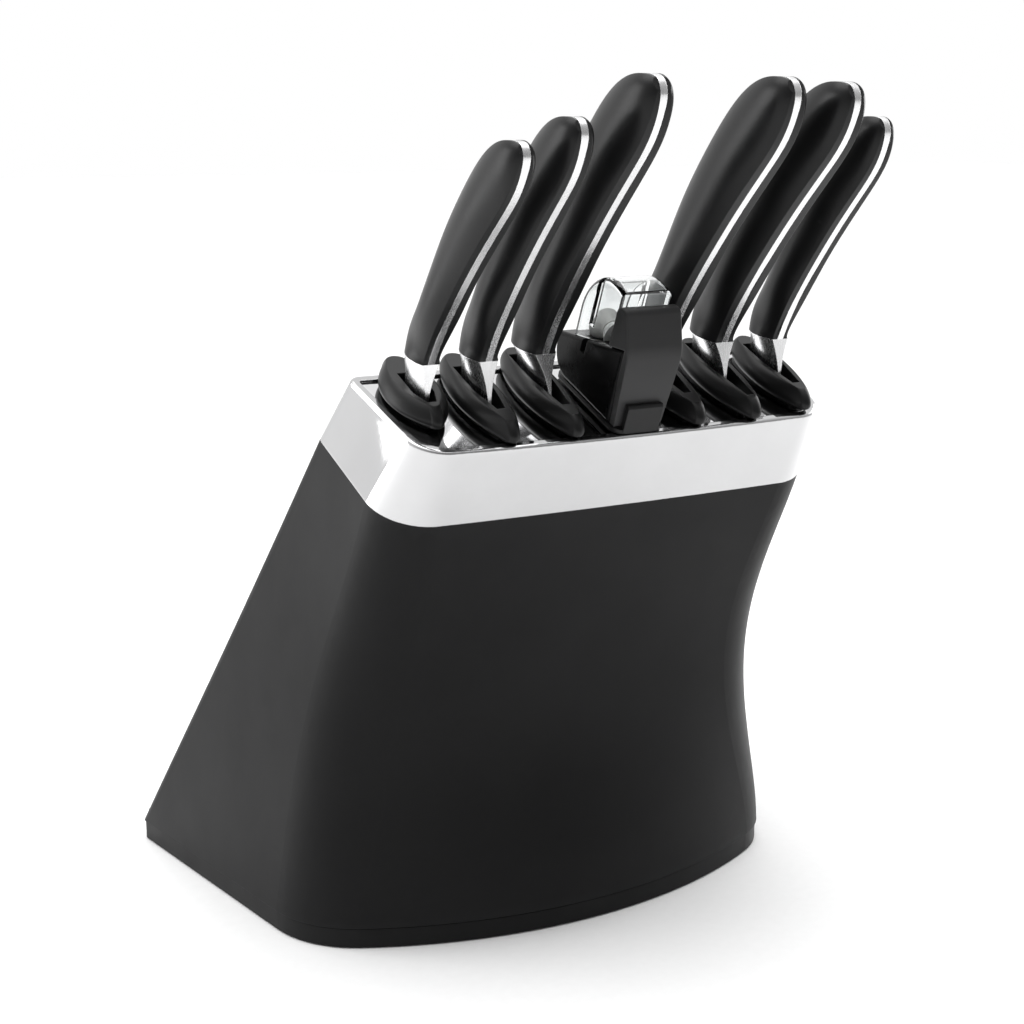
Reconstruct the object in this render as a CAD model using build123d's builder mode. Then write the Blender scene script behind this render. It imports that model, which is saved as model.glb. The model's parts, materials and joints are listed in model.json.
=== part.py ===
from build123d import *
import os
from math import cos, radians, sin

# Kitchen knife block with six knives and a docked knife sharpener.
#
# Frame: origin in the middle of the resting face, +X along the long front, -Y towards the user, +Z up.
# The blades stand square to the sloping top of the block.  Everything that slides out of the top is
# drawn in blade coordinates: u runs forward along the top, w runs up out of it, and u = w = 0 lies in
# the middle of the top.  All sizes are in millimetres.

# Overall block
TILT = 22.3
TOP_MIDDLE_Y = -91.5
TOP_MIDDLE_Z = 222.4
TOP_DEPTH = 59.7
TOP_FRONT_HALF = 92.9
TOP_BACK_HALF = 97.8
TOP_BULGE = 1.9
TOP_CORNER = 15.1
BAND_HEIGHT = 33.1
BAND_FRONT_U = 27.8
BAND_DEPTH = 69.8
BAND_FRONT_HALF = 100.3
BAND_BACK_HALF = 100.0
BAND_BULGE = 1.3
BAND_CORNER = 21.1
BASE_DEPTH = 180.4
BASE_FRONT_HALF = 118.0
BASE_BACK_HALF = 137.5
BASE_BULGE = 35.0
BASE_CORNER = 43.3
BACK_CORNER = 5.0
FRONT_TOP_REACH = 86.0
FRONT_BASE_REACH = 90.0
BASE_FLARE = 12.7
SHELL_WALL = 3.0
SHELL_SECTIONS = 5
WAIST_PINCH = 6.5

# Base, pad and screws
PAD_THICKNESS = 1.6
PAD_EXPOSED = 0.6
PAD_INSET = 12.0
TRAY_HEIGHT = 8.0
TRAY_INSET = 0.6
SEAM = 0.4
LIP_HEIGHT = 6.0
LIP_WALL = 2.5
FLANGE_WIDTH = 16.0
FLANGE_THICKNESS = 5.0
SCREW_SHANK = 3.4
SCREW_HEAD = 7.4
SCREW_HEAD_HEIGHT = 2.4
SCREW_LENGTH = 14.0
SCREW_CLEARANCE = 0.05
LIP_GAP = 0.4
TRAY_FLOOR = 4.0
PAD_GAP = 0.2
FLANGE_BITE = 0.5
SCREW_HOLE_GAP = 0.4
SCREW_SEAT_GAP = 0.3
SCREW_LIFT = 0.2
SCREW_SLOT_WIDTH = 0.9
SCREW_SLOT_LENGTH = 5.2
SCREW_SLOT_CUT = 2.0
BASE_SCREW_PLACES = [(-108, 74), (0, 80), (108, 74), (-98, -44), (0, -79), (98, -44)]

# Collar and top plate
RIM_WIDTH = 3.6
PLATE_DROP = 1.0
PLATE_THICKNESS = 2.0
LEDGE_WIDTH = 1.4
LEDGE_THICKNESS = 2.5
COLLAR_WALL = 2.4
SKIRT_DEPTH = 7.0
SKIRT_INSET = 3.7
SKIRT_WALL = 1.6
RIM_ROUND = 1.5
PLATE_GAP = 0.1
OVERCUT = 1.0
COLLAR_FOOT = 3.0
COLLAR_BITE = 0.2

# Blade rack inside the block
RACK_LEVEL = -85.0
RACK_THICKNESS = 3.0
RACK_HALF_LENGTH = 88.0
RACK_FRONT = 20.6
RACK_BACK = -34.0
RACK_CORNER = 10.0
RACK_SLOT_SIDE = 0.6
RACK_SLOT_END = 0.8
POST_RADIUS = 3.6
PEG_RADIUS = 2.0
PEG_LENGTH = 7.0
PEG_FIT = 0.05
BOSS_LENGTH = 9.0
POST_X = [-68.0, 68.0]
POST_U = [-19.0, 17.0]

# Knives
TANG_HALF = 1.4
SPINE_HALF = 1.25
EDGE_HALF = 0.2
SLOT_SIDE = 0.5
SLOT_END = 0.6
BOLSTER_WAIST = 10.0
BOLSTER_FOOT = 2.0
HEEL_LEVEL = -6.0
WAIST_HALF = 3.8
WAIST_FLAT = 1.1
WAIST_SHARE = 0.6
FOOT_HALF = 1.4
FOOT_FLAT = 0.9
BELLY_START = 0.42
BELLY_WIDTH = 0.22
BELLY_HEIGHT = 0.15
TIP_WIDTH = 0.3
TIP_RISE = 0.25
GRIND_SHARE = 0.35
SCALLOP_RADIUS = 4.0
SCALLOP_REACH = 3.2
SCALLOP_PITCH = 6.5
SCALLOP_START = 8.0
SCALLOPS = 16
LARGE_HANDLE = [
    # forward, up, lean in degrees, breadth, half thickness, half width of the edge flat
    (0.0, 0.0, -10.0, 19.5, 7.6, 4.6),
    (3.0, 21.3, 8.0, 19.8, 8.5, 5.0),
    (9.7, 48.3, 15.0, 22.7, 9.3, 5.2),
    (17.2, 73.3, 19.0, 26.0, 9.7, 5.2),
    (25.3, 94.3, 24.0, 27.5, 9.5, 5.0),
    (33.0, 109.8, 32.0, 24.0, 8.6, 4.6),
    (38.4, 118.2, 36.0, 14.0, 6.6, 3.8),
    (40.6, 121.6, 38.0, 5.0, 3.6, 2.6),
]


class Knife:
    """One knife's sizes; u and w values are in blade coordinates."""

    def __init__(
        self, kind, x, depth, spine, edge, heel_reach, scale, girth, turn, root, insert, beam
    ):
        self.kind = kind
        self.x = x
        self.depth = depth
        self.spine = spine
        self.edge = edge
        self.heel_reach = heel_reach
        self.scale = scale
        self.girth = girth
        self.turn = turn
        self.root = root
        self.insert = insert
        self.beam = beam


VEGETABLE = Knife(
    "vegetable", -80.0, 100.0, -15.0, 3.2, 1.8, 0.83, 0.77, 4.0, (-6.8, 20.0), (-31.0, 15.0), 23.0
)
KITCHEN = Knife(
    "kitchen", -55.5, 140.0, -16.6, 12.0, 7.5, 0.865, 0.85, 0.0, (-8.0, 18.6), (-30.0, 29.0), 19.5
)
BREAD = Knife(
    "bread", -28.0, 212.0, -22.4, 13.0, 10.5, 1.0, 0.98, 0.0, (-13.8, 16.9), (-31.0, 29.5), 19.5
)
CARVING = Knife(
    "carving", 28.0, 212.0, -22.0, 13.0, 9.5, 1.0, 0.98, 0.0, (-12.6, 16.9), (-31.0, 29.5), 19.5
)
COOKS = Knife(
    "cooks", 55.0, 180.0, -20.8, 18.6, 7.5, 0.985, 0.96, 0.0, (-11.4, 17.4), (-28.0, 29.5), 19.5
)
UTILITY = Knife(
    "utility", 82.0, 140.0, -16.6, 13.0, 7.0, 0.84, 0.83, -3.0, (-8.6, 17.6), (-26.5, 27.0), 19.5
)
KNIVES = [VEGETABLE, KITCHEN, BREAD, CARVING, COOKS, UTILITY]

# Slot inserts
INSERT_TOP = 8.4
INSERT_FOOT = 0.3
HULL = [
    # height, drafts at the stern, at the bow and across the beam
    (INSERT_FOOT, 2.0, 3.0, 3.5),
    (3.2, 0.0, 0.0, 0.0),
    (6.2, 0.8, 2.0, 2.6),
    (INSERT_TOP, 2.5, 6.0, 7.5),
]
BOW_LENGTH = 2.0
STERN_LENGTH = 3.0
FOOT_STERN_DRAFT = 3.0
FOOT_BOW_DRAFT = 7.0
INSERT_FOOT_WIDTH = 13.4
INSERT_FOOT_BACK = -25.2
INSERT_FOOT_FRONT = 21.0
BOW_HALF = 2.6
STERN_HALF = 4.2
MOUTH_HALF = 4.3
MOUTH_FRONT_HALF = 1.8
MOUTH_DEPTH = 7.0
MOUTH_REACH = 3.0
MOUTH_INSET = 5.0
MOUTH_SHOULDER = 0.7
MOUTH_TAPER = 8.0
SLEEVE_DEPTH = 22.0
SLEEVE_WALL = 1.0
SLOT_FIT = 0.15

# Sharpener, its dock and the guard over its wheels
DOCK_TOP = 2.0
DOCK_FOOT = 0.3
DOCK_HALF = 11.5
DOCK_BACK = -20.0
DOCK_FRONT = 28.4
DOCK_SEAT_BACK = -18.0
DOCK_SEAT_FRONT = 24.0
CLIP_HALF = 8.0
CLIP_THICKNESS = 2.4
CLIP_TOP = 12.0
TONGUE_HALF = 6.0
TONGUE_REACH = 10.0
TONGUE_DEPTH = 18.0
TONGUE_FIT = 0.3
DOCK_WALL = 1.6
DOCK_CORNER = 5.0
SEAT_INSET = 2.0
SEAT_CORNER = 4.0
CLIP_CHAMFER = 0.8
SHARPENER_HALF = 12.0
SHARPENER_FOOT = 2.3
SHARPENER_BACK_TOP = 18.0
SHARPENER_TOP = 33.0
SHARPENER_BACK = -22.5
SHARPENER_FRONT = 22.0
SHARPENER_ROUND = 11.5
SHARPENER_EDGE = 1.6
GRIP_HALF = 12.6
GRIP_FOOT_HALF = 10.8
GRIP_FACE = 25.5
GRIP_TOP = 47.2
GRIP_TOP_FACE = 18.0
GRIP_BEND = 33.0
GRIP_BACK = 12.0
GRIP_BEND_ROUND = 12.0
GRIP_TOP_ROUND = 2.8
GRIP_EDGE = 0.9
PART_GAP = 0.3
GUARD_U = 5.5
GUARD_W = 33.0
GUARD_RADIUS = 19.8
GUARD_ROUND = 2.6
GUARD_HALF = 11.0
GUARD_WALL = 1.8
GUARD_SLOT_FOOT = 30.0
BLADE_SLOT_U = -3.8
BLADE_SLOT_HALF = 1.6
NOTCH_FOOT = 18.5
WHEEL_W = 27.5
WHEEL_RADIUS = 6.6
WHEEL_NECK = 3.8
WHEEL_WIDTH = 5.2
WHEEL_GAP = 0.8
POCKET_FLOOR = 18.5
POCKET_HALF = 7.2
POCKET_BACK = -10.0
POCKET_FRONT = 2.4
LUG_HALF = 4.0
LUG_RISE = 4.0
LUG_ROOT = 1.0
LUG_THICKNESS = 1.2
AXLE_RADIUS = 1.5
AXLE_FIT = 0.02
RUNNING_FIT = 0.05

tilt = radians(TILT)
forward = Vector(0, -cos(tilt), -sin(tilt))
upward = Vector(0, -sin(tilt), cos(tilt))
top_middle = Vector(0, TOP_MIDDLE_Y, TOP_MIDDLE_Z)


def point(x, u, w):
    """World position of a point given in blade coordinates."""
    return top_middle + Vector(x, 0, 0) + forward * u + upward * w


def level(w):
    """Plane parallel to the top at height w: sketch x is X, sketch y runs backwards."""
    return Plane(origin=point(0, 0, w), x_dir=(1, 0, 0), z_dir=upward)


def side(x):
    """Plane of a blade at station x: sketch x is u, sketch y is w, its normal is -X."""
    return Plane(origin=point(x, 0, 0), x_dir=forward, z_dir=(-1, 0, 0))


def save(builder, name):
    """Label a finished piece and write its STEP file."""
    builder.part.label = name
    export_step(builder.part, f"parts/{name}.step")


def block_outline(plane, front_half, back_half, depth, bulge, corner, inset=0.0):
    """The block's outline: front centre at the sketch origin, back towards +y."""
    front = front_half - inset
    back = back_half - inset
    with BuildSketch(plane) as outline:
        with BuildLine():
            ThreePointArc((-front, bulge + inset), (0, inset), (front, bulge + inset))
            Polyline(
                (front, bulge + inset),
                (back, depth - inset),
                (-back, depth - inset),
                (-front, bulge + inset),
            )
        make_face()
        fillet(outline.vertices().sort_by(Axis.Y)[:2], corner - inset)
        fillet(outline.vertices().sort_by(Axis.Y)[-2:], max(BACK_CORNER - inset, 1.0))
    return outline.sketch


def top_outline(w, inset):
    """Outline of the top rim at height w."""
    plane = level(w).shift_origin(point(0, TOP_DEPTH / 2, w))
    return block_outline(
        plane, TOP_FRONT_HALF, TOP_BACK_HALF, TOP_DEPTH, TOP_BULGE, TOP_CORNER, inset
    )


def band_outline(w, inset):
    """Outline of the chrome band's lower edge, drawn at height w."""
    plane = level(w).shift_origin(point(0, BAND_FRONT_U, w))
    return block_outline(
        plane, BAND_FRONT_HALF, BAND_BACK_HALF, BAND_DEPTH, BAND_BULGE, BAND_CORNER, inset
    )


def base_outline(z, inset):
    """Outline of the foot of the block at height z."""
    plane = Plane(origin=(0, -BASE_DEPTH / 2, z), x_dir=(1, 0, 0), z_dir=(0, 0, 1))
    return block_outline(
        plane, BASE_FRONT_HALF, BASE_BACK_HALF, BASE_DEPTH, BASE_BULGE, BASE_CORNER, inset
    )


SHELL_FOOT = PAD_EXPOSED + TRAY_HEIGHT + SEAM
band_front = point(0, BAND_FRONT_U, -BAND_HEIGHT)
band_back = point(0, BAND_FRONT_U - BAND_DEPTH, -BAND_HEIGHT)
base_front = Vector(0, -BASE_DEPTH / 2, SHELL_FOOT)
base_back = Vector(0, BASE_DEPTH / 2, SHELL_FOOT)


def front_curve(t):
    """Hollow front profile of the shell, from the band (t = 0) to the foot (t = 1)."""
    top_front = point(0, TOP_DEPTH / 2, 0)
    leave_band = (band_front - top_front).normalized() * FRONT_TOP_REACH
    flare = radians(BASE_FLARE)
    leave_base = Vector(0, sin(flare), cos(flare)) * FRONT_BASE_REACH
    first = band_front + leave_band
    second = base_front + leave_base
    s = 1 - t
    return band_front * s**3 + first * (3 * s * s * t) + second * (3 * s * t * t) + base_front * t**3


def shell_section(t, inset):
    """Cross section of the shell at fraction t of the way down."""
    start = front_curve(t)
    lean = tilt * (1 - t)
    run = Vector(0, cos(lean), sin(lean))
    back_run = base_back - band_back
    gap = start - band_back
    down = (gap.Y * run.Z - gap.Z * run.Y) / (back_run.Y * run.Z - back_run.Z * run.Y)
    depth = (band_back + back_run * down - start).length
    plane = Plane(origin=start, x_dir=(1, 0, 0), z_dir=(0, -sin(lean), cos(lean)))
    pinch = 4 * WAIST_PINCH * t * (1 - t)
    front_half = BAND_FRONT_HALF + (BASE_FRONT_HALF - BAND_FRONT_HALF) * t - pinch
    back_half = BAND_BACK_HALF + (BASE_BACK_HALF - BAND_BACK_HALF) * down
    bulge = BAND_BULGE + (BASE_BULGE - BAND_BULGE) * t**2
    corner = BAND_CORNER + (BASE_CORNER - BAND_CORNER) * t
    return block_outline(plane, front_half, back_half, depth, bulge, corner, inset)


def make_pad():
    """Soft non-slip pad let into the underside of the tray."""
    with BuildPart() as pad:
        extrude(base_outline(0, PAD_INSET), amount=PAD_THICKNESS)
    save(pad, "non_slip_pad")


def make_tray():
    """Black plinth that closes the foot of the block, with a locating lip inside the shell."""
    top = PAD_EXPOSED + TRAY_HEIGHT
    with BuildPart() as tray:
        extrude(base_outline(PAD_EXPOSED, TRAY_INSET), amount=TRAY_HEIGHT)
        extrude(base_outline(top, SHELL_WALL + FLANGE_WIDTH + LIP_GAP), amount=LIP_HEIGHT)
        extrude(
            base_outline(PAD_EXPOSED + TRAY_FLOOR, SHELL_WALL + FLANGE_WIDTH + LIP_GAP + LIP_WALL),
            amount=TRAY_HEIGHT + LIP_HEIGHT,
            mode=Mode.SUBTRACT,
        )
        extrude(base_outline(0, PAD_INSET - PAD_GAP), amount=PAD_THICKNESS, mode=Mode.SUBTRACT)
        with Locations(*[(x, y, PAD_THICKNESS) for x, y in BASE_SCREW_PLACES]):
            Cylinder(
                SCREW_HEAD / 2 + SCREW_HOLE_GAP,
                SCREW_HEAD_HEIGHT + SCREW_SEAT_GAP,
                align=(Align.CENTER, Align.CENTER, Align.MIN),
                mode=Mode.SUBTRACT,
            )
            Cylinder(
                SCREW_SHANK / 2 + SCREW_HOLE_GAP,
                TRAY_HEIGHT,
                align=(Align.CENTER, Align.CENTER, Align.MIN),
                mode=Mode.SUBTRACT,
            )
    save(tray, "base_tray")


def make_base_screws():
    """Six pan head screws that hold the tray to the shell's flange."""
    with BuildPart() as screws:
        with Locations(*[(x, y, PAD_THICKNESS + SCREW_LIFT) for x, y in BASE_SCREW_PLACES]):
            Cylinder(
                SCREW_HEAD / 2,
                SCREW_HEAD_HEIGHT,
                align=(Align.CENTER, Align.CENTER, Align.MIN),
            )
            Cylinder(
                SCREW_SHANK / 2,
                SCREW_LENGTH,
                align=(Align.CENTER, Align.CENTER, Align.MIN),
            )
            Box(SCREW_SLOT_WIDTH, SCREW_SLOT_LENGTH, SCREW_SLOT_CUT, mode=Mode.SUBTRACT)
    save(screws, "base_screws")


def make_shell():
    """Hollow body of the block, open at both ends, with a screw flange round its foot."""
    fractions = [i / (SHELL_SECTIONS - 1) for i in range(SHELL_SECTIONS)]
    with BuildPart() as shell:
        loft([shell_section(t, 0) for t in fractions])
        loft([shell_section(t, SHELL_WALL) for t in fractions], mode=Mode.SUBTRACT)
        extrude(base_outline(SHELL_FOOT, SHELL_WALL - FLANGE_BITE), amount=FLANGE_THICKNESS)
        extrude(
            base_outline(SHELL_FOOT, SHELL_WALL + FLANGE_WIDTH),
            amount=FLANGE_THICKNESS,
            mode=Mode.SUBTRACT,
        )
        with Locations(*[(x, y, SHELL_FOOT) for x, y in BASE_SCREW_PLACES]):
            Cylinder(
                SCREW_SHANK / 2 + SCREW_CLEARANCE,
                SCREW_LENGTH,
                mode=Mode.SUBTRACT,
            )
    save(shell, "body_shell")


def make_collar():
    """Polished band round the top, with a rounded rim, a ledge for the plate and a skirt below."""
    plate_seat = -PLATE_DROP - PLATE_THICKNESS
    ledge_foot = plate_seat - LEDGE_THICKNESS
    with BuildPart() as collar:
        loft([top_outline(0, 0), band_outline(-BAND_HEIGHT, 0)])
        rim = collar.faces().sort_by(Axis(origin=(0, 0, 0), direction=upward))[-1]
        fillet(rim.edges(), RIM_ROUND)
        extrude(top_outline(OVERCUT, RIM_WIDTH), amount=plate_seat - OVERCUT, mode=Mode.SUBTRACT)
        extrude(
            top_outline(0, RIM_WIDTH + LEDGE_WIDTH),
            amount=ledge_foot - OVERCUT,
            mode=Mode.SUBTRACT,
        )
        loft(
            [
                top_outline(ledge_foot, COLLAR_WALL + OVERCUT),
                band_outline(-BAND_HEIGHT - PLATE_GAP, COLLAR_WALL),
            ],
            mode=Mode.SUBTRACT,
        )
        extrude(band_outline(COLLAR_FOOT - BAND_HEIGHT, COLLAR_WALL - COLLAR_BITE), amount=-COLLAR_FOOT)
        extrude(band_outline(-BAND_HEIGHT, SKIRT_INSET), amount=-SKIRT_DEPTH)
        extrude(
            band_outline(COLLAR_FOOT + OVERCUT - BAND_HEIGHT, SKIRT_INSET + SKIRT_WALL),
            amount=-COLLAR_FOOT - SKIRT_DEPTH - 2 * OVERCUT,
            mode=Mode.SUBTRACT,
        )
    save(collar, "chrome_collar")


def slot_sketch(plane, x, back, front, half):
    """Rectangle on a level plane, from u = back to u = front, 2 * half wide about x."""
    with BuildSketch(plane) as slot:
        with Locations((x, -(back + front) / 2)):
            Rectangle(2 * half, front - back)
    return slot.sketch


def circle_sketch(plane, places, radius):
    """Circles of one radius on a level plane at (x, u) places."""
    with BuildSketch(plane) as circles:
        with Locations(*[(x, -u) for x, u in places]):
            Circle(radius)
    return circles.sketch


POSTS = [(x, u) for x in POST_X for u in POST_U]
SLEEVE_HALF = SPINE_HALF + SLOT_SIDE + SLEEVE_WALL
SLEEVE_END = SLOT_END + SLEEVE_WALL


def make_top_plate():
    """Mirror plate with an opening for every sleeve and for the sharpener's dock."""
    top = level(-PLATE_DROP)
    under = level(-PLATE_DROP - PLATE_THICKNESS)
    with BuildPart() as plate:
        extrude(top_outline(-PLATE_DROP, RIM_WIDTH + PLATE_GAP), amount=-PLATE_THICKNESS)
        extrude(circle_sketch(under, POSTS, POST_RADIUS), amount=-BOSS_LENGTH)
        extrude(
            circle_sketch(under, POSTS, PEG_RADIUS + PEG_FIT),
            amount=-BOSS_LENGTH,
            mode=Mode.SUBTRACT,
        )
        for knife in KNIVES:
            back = knife.spine - SLEEVE_END - SLOT_FIT
            front = knife.edge + SLEEVE_END + SLOT_FIT
            extrude(
                slot_sketch(top, knife.x, back, front, SLEEVE_HALF + SLOT_FIT),
                amount=-PLATE_THICKNESS,
                mode=Mode.SUBTRACT,
            )
        reach = TONGUE_REACH + TONGUE_FIT + DOCK_WALL + SLOT_FIT
        half = TONGUE_HALF + TONGUE_FIT + DOCK_WALL + SLOT_FIT
        extrude(
            slot_sketch(top, 0, -reach, reach, half),
            amount=-PLATE_THICKNESS,
            mode=Mode.SUBTRACT,
        )
    save(plate, "top_plate")


def make_blade_rack():
    """Slotted guide plate on four posts that keeps the blades apart inside the block."""
    under_bosses = -PLATE_DROP - PLATE_THICKNESS - BOSS_LENGTH
    plate = level(RACK_LEVEL)
    with BuildPart() as rack:
        with BuildSketch(plate) as outline:
            with Locations((0, -(RACK_BACK + RACK_FRONT) / 2)):
                Rectangle(2 * RACK_HALF_LENGTH, RACK_FRONT - RACK_BACK)
            chamfer(outline.vertices().group_by(Axis.Y)[0], RACK_CORNER)
        extrude(amount=RACK_THICKNESS)
        extrude(
            circle_sketch(plate, POSTS, POST_RADIUS),
            amount=under_bosses - RACK_LEVEL,
        )
        extrude(
            circle_sketch(level(under_bosses), POSTS, PEG_RADIUS),
            amount=PEG_LENGTH,
        )
        for knife in KNIVES:
            extrude(
                slot_sketch(
                    plate,
                    knife.x,
                    knife.spine - RACK_SLOT_END,
                    knife.edge + RACK_SLOT_END,
                    SPINE_HALF + RACK_SLOT_SIDE,
                ),
                amount=RACK_THICKNESS,
                mode=Mode.SUBTRACT,
            )
    save(rack, "blade_rack")


def leaf(x, w, back, front, width):
    """Pointed leaf outline with a blunt bow and a rounder stern."""
    bow = BOW_LENGTH - front
    stern = -back - STERN_LENGTH
    middle = -(front + back) / 2
    with BuildSketch(level(w)) as outline:
        with BuildLine():
            ThreePointArc((x - BOW_HALF, bow), (x, -front), (x + BOW_HALF, bow))
            ThreePointArc((x + BOW_HALF, bow), (x + width / 2, middle), (x + STERN_HALF, stern))
            ThreePointArc((x + STERN_HALF, stern), (x, -back), (x - STERN_HALF, stern))
            ThreePointArc((x - STERN_HALF, stern), (x - width / 2, middle), (x - BOW_HALF, bow))
        make_face()
    return outline.sketch


def make_insert(knife):
    """Boat shaped slot insert: flared pad on the plate and a sleeve through it."""
    back, front = knife.insert
    foot_back = max(back + FOOT_STERN_DRAFT, INSERT_FOOT_BACK)
    foot_front = min(front - FOOT_BOW_DRAFT, INSERT_FOOT_FRONT)
    with BuildPart() as insert:
        loft(
            [
                leaf(knife.x, height, back + stern, front - bow, knife.beam - across_beam)
                for height, stern, bow, across_beam in HULL
            ]
        )
        extrude(
            leaf(knife.x, INSERT_FOOT, foot_back, foot_front, INSERT_FOOT_WIDTH),
            amount=-INSERT_FOOT - PLATE_DROP,
        )
        extrude(
            slot_sketch(
                level(INSERT_FOOT),
                knife.x,
                knife.spine - SLEEVE_END,
                knife.edge + SLEEVE_END,
                SLEEVE_HALF,
            ),
            amount=-SLEEVE_DEPTH,
        )
        extrude(
            slot_sketch(
                level(INSERT_TOP + OVERCUT),
                knife.x,
                knife.spine - SLOT_END,
                knife.edge + SLOT_END,
                SPINE_HALF + SLOT_SIDE,
            ),
            amount=-SLEEVE_DEPTH - INSERT_TOP - 2 * OVERCUT,
            mode=Mode.SUBTRACT,
        )
        mouth_back = SLOT_END - knife.spine
        mouth_front = -min(knife.edge + MOUTH_REACH, front - MOUTH_INSET)
        shoulder = mouth_front + (mouth_back - mouth_front) * MOUTH_SHOULDER - MOUTH_TAPER
        with BuildSketch(level(INSERT_TOP + OVERCUT)):
            with BuildLine():
                Polyline(
                    (knife.x - MOUTH_HALF, mouth_back),
                    (knife.x + MOUTH_HALF, mouth_back),
                    (knife.x + MOUTH_HALF, shoulder),
                    (knife.x + MOUTH_FRONT_HALF, mouth_front),
                    (knife.x - MOUTH_FRONT_HALF, mouth_front),
                    (knife.x - MOUTH_HALF, shoulder),
                    close=True,
                )
            make_face()
        extrude(amount=-MOUTH_DEPTH - OVERCUT, mode=Mode.SUBTRACT)
    save(insert, f"{knife.kind}_slot_insert")


def handle_stations(knife):
    """Cross section stations of a handle in blade coordinates."""
    turn = radians(knife.turn)
    stations = []
    for ahead, up, lean, breadth, half, flat in LARGE_HANDLE:
        u = knife.root[0] + knife.scale * (ahead * cos(turn) + up * sin(turn))
        w = knife.root[1] + knife.scale * (up * cos(turn) - ahead * sin(turn))
        girth = knife.girth
        station = (u, w, lean + knife.turn, breadth * girth, half * girth, flat * girth)
        stations.append(station)
    return stations


def across(knife, u, w, lean):
    """Plane across the handle or bolster: sketch x is -X, sketch y points forward."""
    a = radians(lean)
    along = forward * sin(a) + upward * cos(a)
    return Plane(origin=point(knife.x, u, w), x_dir=(-1, 0, 0), z_dir=along)


def scale_section(knife, station):
    """Half section of the handle, from the tang out to the crowned cheek."""
    u, w, lean, breadth, half, flat = station
    reach = breadth / 2
    with BuildSketch(across(knife, u, w, lean)) as section:
        with BuildLine():
            Polyline((flat, -reach), (TANG_HALF, -reach), (TANG_HALF, reach), (flat, reach))
            ThreePointArc((flat, reach), (half, 0), (flat, -reach))
        make_face()
    return section.sketch


def make_scale(knife, name, mirrored):
    """One black handle scale; the other cheek is its mirror image in the blade plane."""
    sections = [scale_section(knife, station) for station in handle_stations(knife)]
    with BuildPart() as scale:
        loft(sections)
        if mirrored:
            mirror(about=Plane.YZ.offset(knife.x), mode=Mode.REPLACE)
    save(scale, f"{knife.kind}_knife_{name}")


def edge_points(stations, sign):
    """Front (+1) or back (-1) edge points of the handle in blade coordinates."""
    points = []
    for u, w, lean, breadth, half, flat in stations:
        a = radians(lean)
        points.append((u + sign * breadth / 2 * cos(a), w - sign * breadth / 2 * sin(a)))
    return points


def bolster_section(plane, reach, half, flat):
    """Full cross section: flat front and back edges with crowned cheeks between them."""
    with BuildSketch(plane) as section:
        with BuildLine():
            Line((-flat, reach), (flat, reach))
            ThreePointArc((flat, reach), (half, 0), (flat, -reach))
            Line((flat, -reach), (-flat, -reach))
            ThreePointArc((-flat, -reach), (-half, 0), (-flat, reach))
        make_face()
    return section.sketch


def level_bolster(knife, front, w, half, flat):
    """Bolster section parallel to the top, from the spine line to u = front."""
    middle = (knife.spine + front) / 2
    return bolster_section(across(knife, middle, w, 0), (front - knife.spine) / 2, half, flat)


def make_blade(knife):
    """Forged steel: blade, bolster and full tang in one piece."""
    stations = handle_stations(knife)
    front_edge = edge_points(stations, 1)
    back_edge = edge_points(stations, -1)
    root_u, root_w, root_lean, root_breadth, root_half, root_flat = stations[0]
    tip = INSERT_TOP - knife.depth
    width = knife.edge - knife.spine
    throat = front_edge[0][0]
    waist_front = throat + knife.heel_reach * WAIST_SHARE
    foot_front = throat + knife.heel_reach + 1
    point_spine = tip + TIP_RISE * knife.depth
    belly_top = tip + BELLY_START * knife.depth
    tip_u = knife.spine + TIP_WIDTH * width
    with BuildPart() as blade:
        with BuildSketch(side(knife.x)):
            with BuildLine():
                Spline(*front_edge, *reversed(back_edge))
                Line(back_edge[0], front_edge[0])
            make_face()
        extrude(amount=TANG_HALF, both=True)
        root_plane = across(knife, root_u, root_w, root_lean)
        loft(
            [
                bolster_section(root_plane, root_breadth / 2, root_half, root_flat),
                level_bolster(knife, waist_front, BOLSTER_WAIST, WAIST_HALF, WAIST_FLAT),
                level_bolster(knife, foot_front, BOLSTER_FOOT, FOOT_HALF, FOOT_FLAT),
            ]
        )
        with BuildSketch(side(knife.x)):
            with BuildLine():
                Polyline(
                    (knife.spine, point_spine),
                    (knife.spine, BOLSTER_FOOT + 1),
                    (throat + knife.heel_reach, BOLSTER_FOOT + 1),
                    (knife.edge, HEEL_LEVEL),
                    (knife.edge, belly_top),
                )
                Spline(
                    (knife.edge, belly_top),
                    (knife.edge - BELLY_WIDTH * width, tip + BELLY_HEIGHT * knife.depth),
                    (tip_u, tip),
                    tangents=[(0, -1), (-0.6, -0.8)],
                )
                Line((tip_u, tip), (knife.spine, point_spine))
            make_face()
        extrude(amount=SPINE_HALF, both=True)
        grind_start = -(knife.spine + GRIND_SHARE * width)
        with BuildSketch(level(HEEL_LEVEL + 2)):
            for cheek in (-1, 1):
                with BuildLine():
                    Polyline(
                        (knife.x + cheek * SPINE_HALF, grind_start),
                        (knife.x + cheek * EDGE_HALF, -knife.edge),
                        (knife.x + cheek * EDGE_HALF, -knife.edge - 1),
                        (knife.x + cheek * (SPINE_HALF + 1), -knife.edge - 1),
                        (knife.x + cheek * (SPINE_HALF + 1), grind_start),
                        close=True,
                    )
                make_face()
        extrude(amount=-knife.depth, mode=Mode.SUBTRACT)
        if knife.kind == "bread":
            scallops = [
                (knife.edge + SCALLOP_REACH, HEEL_LEVEL - SCALLOP_START - SCALLOP_PITCH * i)
                for i in range(SCALLOPS)
            ]
            with BuildSketch(side(knife.x)):
                with Locations(*scallops):
                    Circle(SCALLOP_RADIUS)
            extrude(amount=SPINE_HALF + 1, both=True, mode=Mode.SUBTRACT)
    save(blade, f"{knife.kind}_knife_blade")


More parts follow.
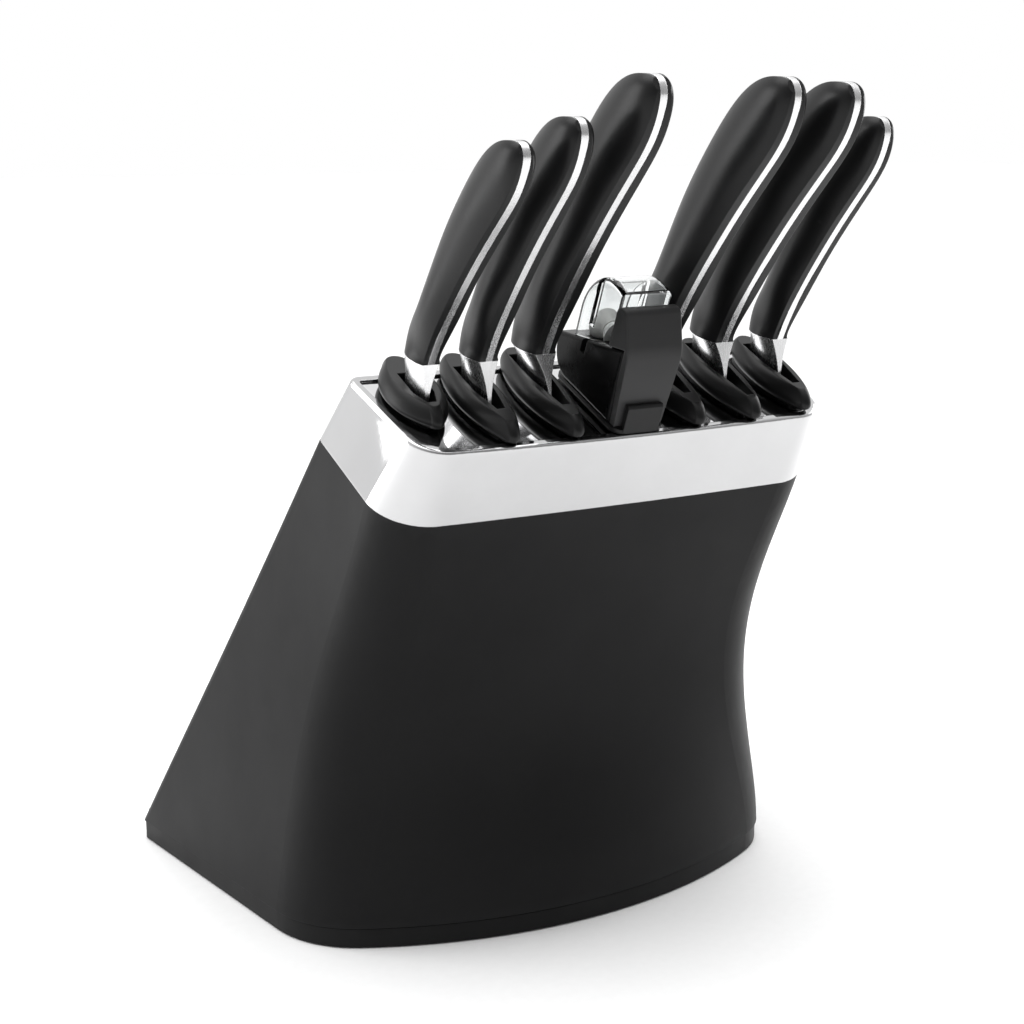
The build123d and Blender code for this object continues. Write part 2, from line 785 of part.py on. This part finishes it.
def make_dock():
    """Black cradle in the middle of the top, with a front clip and a sleeve for the tongue."""
    with BuildPart() as dock:
        with BuildSketch(level(DOCK_FOOT)):
            with Locations((0, -(DOCK_BACK + DOCK_FRONT) / 2)):
                RectangleRounded(2 * DOCK_HALF, DOCK_FRONT - DOCK_BACK, DOCK_CORNER)
        extrude(amount=DOCK_TOP - DOCK_FOOT)
        with BuildSketch(level(-PLATE_DROP)):
            with Locations((0, -(DOCK_SEAT_BACK + DOCK_SEAT_FRONT) / 2)):
                RectangleRounded(
                    2 * (DOCK_HALF - SEAT_INSET), DOCK_SEAT_FRONT - DOCK_SEAT_BACK, SEAT_CORNER
                )
        extrude(amount=DOCK_FOOT + PLATE_DROP)
        reach = TONGUE_REACH + TONGUE_FIT
        half = TONGUE_HALF + TONGUE_FIT
        extrude(
            slot_sketch(level(0), 0, -reach - DOCK_WALL, reach + DOCK_WALL, half + DOCK_WALL),
            amount=-TONGUE_DEPTH - DOCK_TOP,
        )
        extrude(
            slot_sketch(level(DOCK_TOP), 0, -reach, reach, half),
            amount=-TONGUE_DEPTH - 2 * DOCK_TOP - OVERCUT,
            mode=Mode.SUBTRACT,
        )
        with BuildSketch(side(0)):
            with BuildLine():
                Polyline(
                    (DOCK_FRONT - CLIP_THICKNESS, DOCK_TOP - 1),
                    (DOCK_FRONT - CLIP_THICKNESS, CLIP_TOP),
                    (DOCK_FRONT - CLIP_CHAMFER, CLIP_TOP),
                    (DOCK_FRONT, CLIP_TOP - CLIP_CHAMFER),
                    (DOCK_FRONT, DOCK_TOP - 1),
                    close=True,
                )
            make_face()
        extrude(amount=CLIP_HALF, both=True)
    save(dock, "sharpener_dock")


def crown(u):
    """Height of the body's sloping upper edge at u."""
    rise = (SHARPENER_TOP - SHARPENER_BACK_TOP) / (SHARPENER_FRONT - SHARPENER_BACK)
    return SHARPENER_BACK_TOP + rise * (u - SHARPENER_BACK)


def make_sharpener_body():
    """Rounded black body with a tongue below, a wheel pocket and two lugs for the axle."""
    with BuildPart() as body:
        with BuildSketch(side(0)) as profile:
            with BuildLine():
                Polyline(
                    (SHARPENER_BACK, SHARPENER_FOOT),
                    (SHARPENER_FRONT, SHARPENER_FOOT),
                    (SHARPENER_FRONT, SHARPENER_TOP),
                    (SHARPENER_BACK, SHARPENER_BACK_TOP),
                    close=True,
                )
            make_face()
            back_foot = profile.vertices().sort_by_distance((SHARPENER_BACK, SHARPENER_FOOT))[0]
            fillet(back_foot, SHARPENER_ROUND)
        extrude(amount=SHARPENER_HALF, both=True)
        fillet(body.faces().sort_by(Axis.X)[-1].edges(), SHARPENER_EDGE)
        fillet(body.faces().sort_by(Axis.X)[0].edges(), SHARPENER_EDGE)
        extrude(
            slot_sketch(level(SHARPENER_TOP), 0, POCKET_BACK, POCKET_FRONT, POCKET_HALF),
            amount=POCKET_FLOOR - SHARPENER_TOP,
            mode=Mode.SUBTRACT,
        )
        for back in (POCKET_BACK - LUG_THICKNESS, POCKET_FRONT):
            extrude(
                slot_sketch(
                    level(POCKET_FLOOR - LUG_ROOT), 0, back, back + LUG_THICKNESS, LUG_HALF
                ),
                amount=WHEEL_W + LUG_RISE - POCKET_FLOOR,
            )
        extrude(
            slot_sketch(
                level(NOTCH_FOOT),
                0,
                BLADE_SLOT_U - BLADE_SLOT_HALF,
                BLADE_SLOT_U + BLADE_SLOT_HALF,
                SHARPENER_HALF + 1,
            ),
            amount=SHARPENER_TOP - NOTCH_FOOT,
            mode=Mode.SUBTRACT,
        )
        extrude(
            slot_sketch(level(SHARPENER_FOOT), 0, -TONGUE_REACH, TONGUE_REACH, TONGUE_HALF),
            amount=-TONGUE_DEPTH - SHARPENER_FOOT,
        )
        with BuildSketch(axle_plane(POCKET_BACK - LUG_THICKNESS - OVERCUT)):
            Circle(AXLE_RADIUS + AXLE_FIT)
        extrude(
            amount=POCKET_FRONT - POCKET_BACK + 2 * (LUG_THICKNESS + OVERCUT),
            mode=Mode.SUBTRACT,
        )
    save(body, "sharpener_body")


def axle_plane(u):
    """Plane square to the sharpener's axle at u, facing forward."""
    return Plane(origin=point(0, u, WHEEL_W), x_dir=(1, 0, 0), z_dir=forward)


def make_grip():
    """Dark grey thumb grip: a flat front panel that bends back into a thick head."""
    with BuildPart() as grip:
        with BuildSketch(side(0)) as profile:
            with BuildLine():
                Polyline(
                    (SHARPENER_FRONT + PART_GAP, SHARPENER_FOOT),
                    (GRIP_FACE, SHARPENER_FOOT),
                    (GRIP_FACE, GRIP_BEND),
                    (GRIP_TOP_FACE, GRIP_TOP),
                    (GRIP_BACK, GRIP_TOP),
                    (GRIP_BACK, crown(GRIP_BACK) + PART_GAP),
                    (SHARPENER_FRONT + PART_GAP, SHARPENER_TOP + PART_GAP),
                    close=True,
                )
            make_face()
            fillet(profile.vertices().group_by(Axis.Y)[-1], GRIP_TOP_ROUND)
            bend = profile.vertices().sort_by_distance((GRIP_FACE, GRIP_BEND))[0]
            fillet(bend, GRIP_BEND_ROUND)
        extrude(amount=GRIP_HALF, both=True)
        fillet(grip.faces().sort_by(Axis.X)[-1].edges(), GRIP_EDGE)
        fillet(grip.faces().sort_by(Axis.X)[0].edges(), GRIP_EDGE)
        with BuildSketch(Plane(origin=point(0, GRIP_BACK, 0), x_dir=(1, 0, 0), z_dir=forward)):
            for cheek in (-1, 1):
                with BuildLine():
                    Polyline(
                        (cheek * GRIP_HALF, GRIP_BEND),
                        (cheek * GRIP_FOOT_HALF, SHARPENER_FOOT),
                        (cheek * (GRIP_HALF + 1), SHARPENER_FOOT),
                        (cheek * (GRIP_HALF + 1), GRIP_BEND),
                        close=True,
                    )
                make_face()
        extrude(amount=GRIP_FACE, mode=Mode.SUBTRACT)
    save(grip, "sharpener_grip")


def guard_sketch(radius, foot, front):
    """Side view of the guard: a dome with straight walls, cut off along the body's crown."""
    back = GUARD_U - radius
    with BuildSketch(side(0)) as outline:
        with Locations((GUARD_U, GUARD_W)):
            Circle(radius)
        with BuildLine():
            Polyline((back, 0), (back, GUARD_W), (front, GUARD_W), (front, 0), close=True)
        make_face()
        with BuildLine():
            Polyline(
                (back - 1, crown(back - 1) + foot),
                (front + 1, crown(front + 1) + foot),
                (front + 1, -1),
                (back - 1, -1),
                close=True,
            )
        make_face(mode=Mode.SUBTRACT)
        with Locations((front + radius, GUARD_W)):
            Rectangle(2 * radius, 6 * radius, mode=Mode.SUBTRACT)
    return outline.sketch


def make_guard():
    """Clear domed guard over the wheels, slotted across for the blade being sharpened."""
    foot = PART_GAP
    front = GRIP_BACK - PART_GAP
    with BuildPart() as guard:
        extrude(guard_sketch(GUARD_RADIUS, foot, front), amount=GUARD_HALF, both=True)
        for cheek in (-1, 0):
            dome = guard.faces().sort_by(Axis.X)[cheek].edges().filter_by(GeomType.CIRCLE)
            fillet(dome, GUARD_ROUND)
        extrude(
            guard_sketch(GUARD_RADIUS - GUARD_WALL, foot - 1, front - GUARD_WALL),
            amount=GUARD_HALF - GUARD_WALL,
            both=True,
            mode=Mode.SUBTRACT,
        )
        extrude(
            slot_sketch(
                level(GUARD_SLOT_FOOT),
                0,
                BLADE_SLOT_U - BLADE_SLOT_HALF,
                BLADE_SLOT_U + BLADE_SLOT_HALF,
                GUARD_HALF + 1,
            ),
            amount=GUARD_RADIUS * 2,
            mode=Mode.SUBTRACT,
        )
    save(guard, "clear_guard")


def disc(u, radius):
    """Circle about the axle at u."""
    with BuildSketch(axle_plane(u)) as circle:
        Circle(radius)
    return circle.sketch


def make_wheel(name, outer_u, inner_u):
    """Ceramic wheel, tapering towards the blade slot, with a bore for the axle."""
    start = min(outer_u, inner_u)
    radii = (WHEEL_RADIUS, WHEEL_NECK) if outer_u < inner_u else (WHEEL_NECK, WHEEL_RADIUS)
    with BuildPart() as wheel:
        loft([disc(start, radii[0]), disc(start + WHEEL_WIDTH, radii[1])])
        extrude(disc(start, AXLE_RADIUS + RUNNING_FIT), amount=WHEEL_WIDTH, mode=Mode.SUBTRACT)
    save(wheel, name)


def make_axle():
    """Steel axle pressed into the body's two lugs."""
    with BuildPart() as axle:
        extrude(
            disc(POCKET_BACK - LUG_THICKNESS, AXLE_RADIUS),
            amount=POCKET_FRONT - POCKET_BACK + 2 * LUG_THICKNESS,
        )
    save(axle, "wheel_axle")


def main():
    os.makedirs("parts", exist_ok=True)
    make_pad()
    make_tray()
    make_base_screws()
    make_shell()
    make_collar()
    make_top_plate()
    make_blade_rack()
    for knife in KNIVES:
        make_insert(knife)
        make_blade(knife)
        make_scale(knife, "left_scale", False)
        make_scale(knife, "right_scale", True)
    make_dock()
    make_sharpener_body()
    make_grip()
    make_guard()
    inner = WHEEL_GAP / 2
    make_wheel("rear_ceramic_wheel", BLADE_SLOT_U - inner - WHEEL_WIDTH, BLADE_SLOT_U - inner)
    make_wheel("front_ceramic_wheel", BLADE_SLOT_U + inner + WHEEL_WIDTH, BLADE_SLOT_U + inner)
    make_axle()


main()
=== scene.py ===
import json
import math

import bmesh
import bpy
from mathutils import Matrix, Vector

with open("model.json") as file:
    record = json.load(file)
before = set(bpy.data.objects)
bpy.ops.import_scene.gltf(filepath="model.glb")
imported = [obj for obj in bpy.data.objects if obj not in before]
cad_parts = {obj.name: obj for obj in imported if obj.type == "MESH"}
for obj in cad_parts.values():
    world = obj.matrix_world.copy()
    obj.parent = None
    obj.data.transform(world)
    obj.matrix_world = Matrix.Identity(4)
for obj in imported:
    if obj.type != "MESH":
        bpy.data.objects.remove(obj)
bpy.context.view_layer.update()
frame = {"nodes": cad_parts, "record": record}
nodes = frame["nodes"]
for plain in list(bpy.data.materials):
    bpy.data.materials.remove(plain)

TILT = math.radians(22.3)
BEVEL_SAMPLES = 4
PLASTIC_EDGE = 0.0006
PLATED_EDGE = 0.0005
STEEL_EDGE = 0.0003
FACTOR_SOCKET = 0
FIRST_COLOUR_SOCKET = 6
SECOND_COLOUR_SOCKET = 7
COLOUR_RESULT = 2
WORN_GAIN = 1.5
HAZE_TINT = 0.94
SCRATCH_TINT = 0.9
PLASTIC_IOR = 1.5
CLEAR_IOR = 1.49
STEEL_ANISOTROPY = 0.4
FLOOR_HALF = 9.0
FLOOR_SEGMENTS = 4
LENS = 61.76
SENSOR_WIDTH = 36.0
CAMERA_REACH = 50.0
CAMERA_PLACE = (-0.3726, -0.6656, 0.3298)
CAMERA_PITCH = 77.3
CAMERA_YAW = -30.0
LIGHT_TARGET = (0.0, -0.05, 0.18)
FILL_ENERGY = 1.1
FILL_ANGLE = 75.0
FRONT_LEVEL = 0.3

# Materials


def new_material(name):
    """Empty node material; returns it with its tree and its Principled shader."""
    material = bpy.data.materials.new(name)
    material.use_nodes = True
    tree = material.node_tree
    return material, tree, tree.nodes["Principled BSDF"]


def add(tree, kind, inputs=(), **settings):
    """New shader node with its settings and input values or links."""
    node = tree.nodes.new(kind)
    for key, value in settings.items():
        setattr(node, key, value)
    for socket, value in dict(inputs).items():
        if isinstance(value, bpy.types.NodeSocket):
            tree.links.new(value, node.inputs[socket])
        else:
            node.inputs[socket].default_value = value
    return node


def object_point(tree, stretch=(1.0, 1.0, 1.0), turn=(0.0, 0.0, 0.0)):
    """Object coordinates in metres, turned and stretched."""
    coordinates = add(tree, "ShaderNodeTexCoord")
    mapping = add(
        tree,
        "ShaderNodeMapping",
        {"Vector": coordinates.outputs["Object"], "Rotation": turn, "Scale": stretch},
    )
    return mapping.outputs["Vector"]


def noise(tree, place, scale, detail=3.0, rough=0.5):
    """Noise factor at a place."""
    texture = add(
        tree,
        "ShaderNodeTexNoise",
        {"Vector": place, "Scale": scale, "Detail": detail, "Roughness": rough},
    )
    return texture.outputs["Fac"]


def spread(tree, factor, low, high, start=0.3, stop=0.7):
    """A factor mapped to the range low to high."""
    node = add(
        tree,
        "ShaderNodeMapRange",
        {"Value": factor, "From Min": start, "From Max": stop, "To Min": low, "To Max": high},
    )
    return node.outputs["Result"]


def mixed_colour(tree, factor, first, second):
    """Colour between two colours or colour sockets."""
    node = add(tree, "ShaderNodeMix", data_type="RGBA")
    tree.links.new(factor, node.inputs[FACTOR_SOCKET])
    for index, value in ((FIRST_COLOUR_SOCKET, first), (SECOND_COLOUR_SOCKET, second)):
        if isinstance(value, bpy.types.NodeSocket):
            tree.links.new(value, node.inputs[index])
        else:
            node.inputs[index].default_value = (*value, 1.0)
    return node.outputs[COLOUR_RESULT]


def bump(tree, height, strength, distance, normal=None):
    """Bumped normal from a height factor; distance in metres."""
    inputs = {"Height": height, "Strength": strength, "Distance": distance}
    if normal is not None:
        inputs["Normal"] = normal
    return add(tree, "ShaderNodeBump", inputs).outputs["Normal"]


def soft_edges(tree, radius):
    """Normal that rounds every sharp edge by a radius in metres."""
    bevel = add(tree, "ShaderNodeBevel", {"Radius": radius}, samples=BEVEL_SAMPLES)
    return bevel.outputs["Normal"]


def edge_wear(tree, low, high):
    """Factor that rises along worn, rounded edges."""
    geometry = add(tree, "ShaderNodeNewGeometry")
    return spread(tree, geometry.outputs["Pointiness"], 0.0, 1.0, low, high)


def link(tree, socket, shader, name):
    """Connect a socket to a named input of the shader."""
    tree.links.new(socket, shader.inputs[name])


def plastic(name, dark, light, rough_low, rough_high, grain, grain_depth, specular=0.5):
    """Moulded plastic: cloudy tone, uneven gloss, fine eroded grain and slightly polished edges."""
    material, tree, shader = new_material(name)
    place = object_point(tree)
    cloud = noise(tree, place, 18.0, 4.0)
    speckle = noise(tree, place, grain, 2.0, 0.6)
    wear = edge_wear(tree, 0.53, 0.62)
    tone = mixed_colour(tree, spread(tree, cloud, 0.0, 1.0), dark, light)
    worn = mixed_colour(tree, wear, tone, tuple(WORN_GAIN * c for c in light))
    link(tree, worn, shader, "Base Color")
    smudge = noise(tree, object_point(tree, (1.0, 1.0, 0.6)), 42.0, 5.0, 0.65)
    rough = spread(tree, smudge, rough_low, rough_high, 0.3, 0.72)
    link(tree, rough, shader, "Roughness")
    rounded = soft_edges(tree, PLASTIC_EDGE)
    link(tree, bump(tree, speckle, 0.35, grain_depth, rounded), shader, "Normal")
    shader.inputs["IOR"].default_value = PLASTIC_IOR
    shader.inputs["Specular IOR Level"].default_value = specular
    return material


def polished_metal(name, colour, rough_low, rough_high, ripple):
    """Plated or polished metal: faint waviness, cloudy haze and hairline wipe marks."""
    material, tree, shader = new_material(name)
    place = object_point(tree)
    haze = noise(tree, place, 26.0, 5.0, 0.6)
    wipe = noise(tree, object_point(tree, (0.25, 6.0, 3.0), (0.3, 0.1, 0.5)), 160.0, 3.0, 0.6)
    hazed = tuple(HAZE_TINT * c for c in colour)
    tint = mixed_colour(tree, spread(tree, haze, 0.0, 1.0), colour, hazed)
    link(tree, tint, shader, "Base Color")
    shader.inputs["Metallic"].default_value = 1.0
    joint = add(tree, "ShaderNodeMath", {0: haze, 1: wipe}, operation="MULTIPLY")
    rough = spread(tree, joint.outputs["Value"], rough_low, rough_high, 0.12, 0.42)
    link(tree, rough, shader, "Roughness")
    wave = noise(tree, place, 9.0, 1.0)
    swell = bump(tree, wave, 0.25, ripple, soft_edges(tree, PLATED_EDGE))
    link(tree, bump(tree, wipe, 0.05, 0.00002, swell), shader, "Normal")
    return material


def ground_steel(name, colour, turn, rough_low, rough_high):
    """Forged steel ground along one direction: stretched scratches, small polish clouds."""
    material, tree, shader = new_material(name)
    along = object_point(tree, (1.0, 1.0, 0.03), turn)
    scratch = noise(tree, along, 2600.0, 3.0, 0.7)
    cloud = noise(tree, object_point(tree), 60.0, 4.0)
    lines = spread(tree, scratch, 0.0, 1.0, 0.35, 0.65)
    tone = mixed_colour(tree, lines, tuple(SCRATCH_TINT * c for c in colour), colour)
    link(tree, tone, shader, "Base Color")
    shader.inputs["Metallic"].default_value = 1.0
    gloss = add(tree, "ShaderNodeMath", {0: scratch, 1: cloud}, operation="ADD")
    rough = spread(tree, gloss.outputs["Value"], rough_low, rough_high, 0.7, 1.3)
    link(tree, rough, shader, "Roughness")
    shader.inputs["Anisotropic"].default_value = STEEL_ANISOTROPY
    rounded = soft_edges(tree, STEEL_EDGE)
    link(tree, bump(tree, scratch, 0.06, 0.00002, rounded), shader, "Normal")
    return material


def clear_plastic(name):
    """Injection moulded clear plastic with flow waves and light scuffs."""
    material, tree, shader = new_material(name)
    place = object_point(tree)
    flow = noise(tree, object_point(tree, (1.0, 0.5, 1.0)), 55.0, 2.0)
    scuff = noise(tree, place, 900.0, 3.0, 0.7)
    shader.inputs["Transmission Weight"].default_value = 1.0
    shader.inputs["IOR"].default_value = CLEAR_IOR
    clouded = spread(tree, flow, 0.0, 1.0)
    tint = mixed_colour(tree, clouded, (0.97, 0.98, 0.98), (0.93, 0.95, 0.95))
    link(tree, tint, shader, "Base Color")
    link(tree, spread(tree, scuff, 0.0, 0.09, 0.45, 0.75), shader, "Roughness")
    link(tree, bump(tree, flow, 0.12, 0.0002), shader, "Normal")
    return material


def ceramic(name):
    """White sharpening ceramic: fine grit, a little grey swarf caught in the pores."""
    material, tree, shader = new_material(name)
    place = object_point(tree)
    grit = noise(tree, place, 3200.0, 3.0, 0.7)
    swarf = noise(tree, place, 420.0, 4.0, 0.7)
    tone = mixed_colour(
        tree, spread(tree, swarf, 0.0, 0.6, 0.5, 0.75), (0.86, 0.86, 0.84), (0.5, 0.5, 0.5)
    )
    link(tree, tone, shader, "Base Color")
    link(tree, spread(tree, grit, 0.35, 0.6), shader, "Roughness")
    link(tree, bump(tree, grit, 0.5, 0.00006), shader, "Normal")
    shader.inputs["Subsurface Weight"].default_value = 0.1
    shader.inputs["Subsurface Radius"].default_value = (0.001, 0.001, 0.001)
    return material


def rubber(name):
    """Grey non-slip rubber with a fine dimpled face."""
    material, tree, shader = new_material(name)
    place = object_point(tree)
    dimples = add(tree, "ShaderNodeTexVoronoi", {"Vector": place, "Scale": 700.0})
    dust = noise(tree, place, 90.0, 5.0, 0.7)
    dusted = spread(tree, dust, 0.0, 1.0)
    tone = mixed_colour(tree, dusted, (0.04, 0.04, 0.04), (0.075, 0.074, 0.072))
    link(tree, tone, shader, "Base Color")
    link(tree, spread(tree, dust, 0.7, 0.9), shader, "Roughness")
    link(tree, bump(tree, dimples.outputs["Distance"], 0.5, 0.0003), shader, "Normal")
    return material


SOFT_TOUCH = plastic(
    "soft_touch_black",
    dark=(0.004, 0.004, 0.0043),
    light=(0.006, 0.006, 0.0063),
    rough_low=0.42,
    rough_high=0.5,
    grain=2400.0,
    grain_depth=0.00004,
    specular=0.14,
)
SATIN_BLACK = plastic(
    "satin_black_plastic",
    dark=(0.004, 0.004, 0.0042),
    light=(0.006, 0.006, 0.0062),
    rough_low=0.36,
    rough_high=0.46,
    grain=1600.0,
    grain_depth=0.00006,
    specular=0.12,
)
GUIDE = plastic(
    "guide_plastic",
    dark=(0.015, 0.015, 0.016),
    light=(0.021, 0.021, 0.022),
    rough_low=0.5,
    rough_high=0.62,
    grain=1200.0,
    grain_depth=0.0001,
)
INSERT = plastic(
    "insert_plastic",
    dark=(0.004, 0.004, 0.0042),
    light=(0.006, 0.006, 0.0062),
    rough_low=0.3,
    rough_high=0.42,
    grain=1900.0,
    grain_depth=0.00005,
    specular=0.25,
)
GLOSS_BLACK = plastic(
    "gloss_black_plastic",
    dark=(0.002, 0.002, 0.0022),
    light=(0.0035, 0.0035, 0.0037),
    rough_low=0.2,
    rough_high=0.32,
    grain=1500.0,
    grain_depth=0.00003,
    specular=0.1,
)
DARK_GREY = plastic(
    "dark_grey_plastic",
    dark=(0.018, 0.018, 0.0185),
    light=(0.024, 0.024, 0.0245),
    rough_low=0.4,
    rough_high=0.52,
    grain=1700.0,
    grain_depth=0.00008,
    specular=0.25,
)
HANDLE = plastic(
    "handle_black",
    dark=(0.004, 0.004, 0.0043),
    light=(0.0065, 0.0065, 0.0068),
    rough_low=0.3,
    rough_high=0.4,
    grain=2100.0,
    grain_depth=0.00004,
    specular=0.25,
)
CHROME = polished_metal("polished_chrome", (0.6, 0.6, 0.605), 0.03, 0.08, 0.0005)
MIRROR = polished_metal("mirror_plate", (0.78, 0.78, 0.785), 0.008, 0.03, 0.0001)
KNIFE_STEEL = ground_steel("knife_steel", (0.82, 0.82, 0.825), (TILT, 0.0, 0.0), 0.2, 0.32)
SCREW_STEEL = ground_steel("screw_steel", (0.6, 0.6, 0.61), (0.0, 0.0, 0.0), 0.25, 0.4)
CLEAR = clear_plastic("clear_plastic")
CERAMIC = ceramic("white_ceramic")
RUBBER = rubber("grey_rubber")

FINISHES = {
    material.name: material
    for material in (
        SOFT_TOUCH,
        SATIN_BLACK,
        GUIDE,
        INSERT,
        GLOSS_BLACK,
        DARK_GREY,
        HANDLE,
        CHROME,
        MIRROR,
        KNIFE_STEEL,
        SCREW_STEEL,
        CLEAR,
        CERAMIC,
        RUBBER,
    )
}
SLOT_OF = {part["node"]: part["material_slot"] for part in frame["record"]["subparts"]}
for name, node in nodes.items():
    node.data.materials.clear()
    node.data.materials.append(FINISHES[SLOT_OF[name]])

# Studio


def box_light(name, place, target, size, power):
    """Rectangular soft box pointed at a target."""
    lamp = bpy.data.lights.new(name, "AREA")
    lamp.shape = "RECTANGLE"
    lamp.size, lamp.size_y = size
    lamp.energy = power
    light = bpy.data.objects.new(name, lamp)
    light.location = place
    light.rotation_euler = (Vector(target) - Vector(place)).to_track_quat("-Z", "Y").to_euler()
    bpy.context.scene.collection.objects.link(light)


def fill_sun():
    """Broad, weak sun straight from above."""
    sun = bpy.data.lights.new("fill_sun", "SUN")
    sun.energy = FILL_ENERGY
    sun.angle = math.radians(FILL_ANGLE)
    bpy.context.scene.collection.objects.link(bpy.data.objects.new("fill_sun", sun))


def make_floor():
    """Large pale floor."""
    mesh = bpy.data.meshes.new("floor")
    shape = bmesh.new()
    bmesh.ops.create_grid(
        shape, x_segments=FLOOR_SEGMENTS, y_segments=FLOOR_SEGMENTS, size=FLOOR_HALF
    )
    shape.to_mesh(mesh)
    shape.free()
    floor = bpy.data.objects.new("floor", mesh)
    bpy.context.scene.collection.objects.link(floor)
    material, tree, shader = new_material("studio_paper")
    fibre = noise(tree, object_point(tree), 240.0, 4.0, 0.6)
    mottled = spread(tree, fibre, 0.0, 1.0)
    tone = mixed_colour(tree, mottled, (0.93, 0.93, 0.93), (0.95, 0.95, 0.95))
    link(tree, tone, shader, "Base Color")
    link(tree, spread(tree, fibre, 0.75, 0.9), shader, "Roughness")
    shader.inputs["Specular IOR Level"].default_value = 0.1
    mesh.materials.append(material)


def make_world():
    """White surroundings, much dimmer on the side of the front."""
    world = bpy.data.worlds.new("studio")
    bpy.context.scene.world = world
    world.use_nodes = True
    tree = world.node_tree
    direction = add(tree, "ShaderNodeTexCoord").outputs["Generated"]
    parts = add(tree, "ShaderNodeSeparateXYZ", {"Vector": direction})
    level = spread(tree, parts.outputs["Y"], FRONT_LEVEL, 1.0, -0.9, 0.3)
    background = tree.nodes["Background"]
    background.inputs["Color"].default_value = (1.0, 1.0, 1.0, 1.0)
    tree.links.new(level, background.inputs["Strength"])


def make_camera():
    """Camera of the picture: 30 degrees left of square on, 13 degrees above level."""
    data = bpy.data.cameras.new("camera")
    data.lens = LENS
    data.sensor_width = SENSOR_WIDTH
    data.dof.use_dof = False
    data.clip_end = CAMERA_REACH
    camera = bpy.data.objects.new("camera", data)
    camera.location = CAMERA_PLACE
    camera.rotation_euler = (math.radians(CAMERA_PITCH), 0.0, math.radians(CAMERA_YAW))
    bpy.context.scene.collection.objects.link(camera)
    bpy.context.scene.camera = camera


bpy.context.scene.view_settings.view_transform = "Standard"
make_floor()
make_world()
make_camera()
box_light("left_box", (-1.3, 0.75, 0.6), LIGHT_TARGET, (0.9, 1.3), 12.0)
box_light("right_box", (1.3, 0.1, 0.5), LIGHT_TARGET, (0.7, 1.2), 8.0)
box_light("overhead_box", (0.0, 0.1, 1.7), LIGHT_TARGET, (1.6, 1.2), 8.0)
fill_sun()
